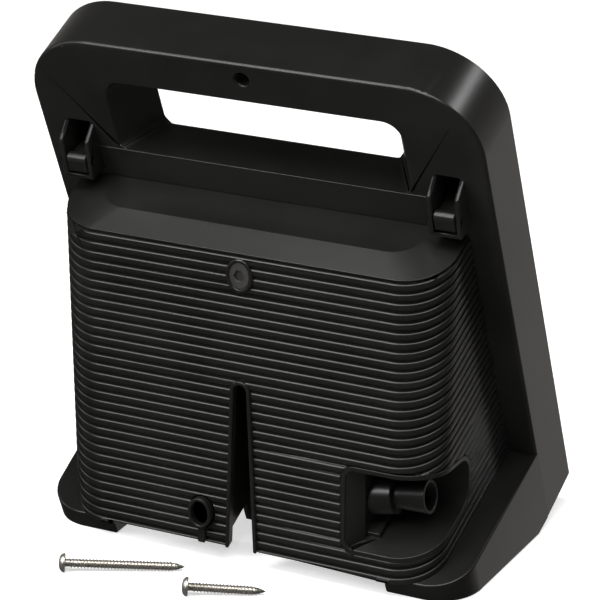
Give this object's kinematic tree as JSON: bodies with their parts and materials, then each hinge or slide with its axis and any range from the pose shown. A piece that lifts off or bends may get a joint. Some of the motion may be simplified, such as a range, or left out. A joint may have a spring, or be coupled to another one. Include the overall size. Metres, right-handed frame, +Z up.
{
  "type": "energiser housing back with carry handle",
  "caption": "Leaning carry-handle frame over a wedge-shaped ribbed mounting block with a post slot, side cable outlet and sprung catches, with loose pan-head case screws.",
  "frame": {"origin": "middle of the footprint of the whole set, on the floor", "axes": "+X to the side with the cable outlet, -Y the ribbed face, +Z up"},
  "size_m": [0.2, 0.1569, 0.2296],
  "materials": {
    "black_plastic": "satin moulded black",
    "plug_plastic": "dull dark grey",
    "bright_steel": "bright plated"
  },
  "bodies": {
    "housing": {"handle_frame": "black_plastic", "block_front": "black_plastic", "block_left": "black_plastic", "block_right": "black_plastic", "block_roof": "black_plastic", "pocket_shell": "black_plastic", "post_socket": "black_plastic", "hole_plug": "plug_plastic", "screw_ferrule": "black_plastic", "outlet_sleeve": "black_plastic", "catch_pin_left": "black_plastic", "catch_pin_right": "black_plastic"},
    "outlet": {"outlet_tube": "black_plastic"},
    "left_catch": {"catch_left": "black_plastic"},
    "right_catch": {"catch_right": "black_plastic"},
    "screw_long": {"long_screw": "bright_steel"},
    "screw_short": {"short_screw": "bright_steel"}
  },
  "joints": [
    {"name": "outlet_turn", "type": "hinge", "parent": "housing", "child": "outlet", "pos_m": [0.0535, -0.0235, 0.0382], "axis": [0.9877, 0, 0.1564], "range_deg": [-30, 30]},
    {"name": "left_catch_rock", "type": "hinge", "parent": "housing", "child": "left_catch", "pos_m": [-0.0825, -0.02325, 0.16301], "axis": [1, 0, 0], "range_deg": [0, 8], "stiffness_Nm_per_rad": 0.05},
    {"name": "right_catch_rock", "type": "hinge", "parent": "housing", "child": "right_catch", "pos_m": [0.0825, -0.02325, 0.16301], "axis": [1, 0, 0], "range_deg": [0, 8], "stiffness_Nm_per_rad": 0.05},
    {"name": "long_screw_lift", "type": "slide", "parent": "housing", "child": "screw_long", "axis": [0, 0, 1], "range_m": [0, 0.04]},
    {"name": "short_screw_lift", "type": "slide", "parent": "housing", "child": "screw_short", "axis": [0, 0, 1], "range_m": [0, 0.04]}
  ]
}
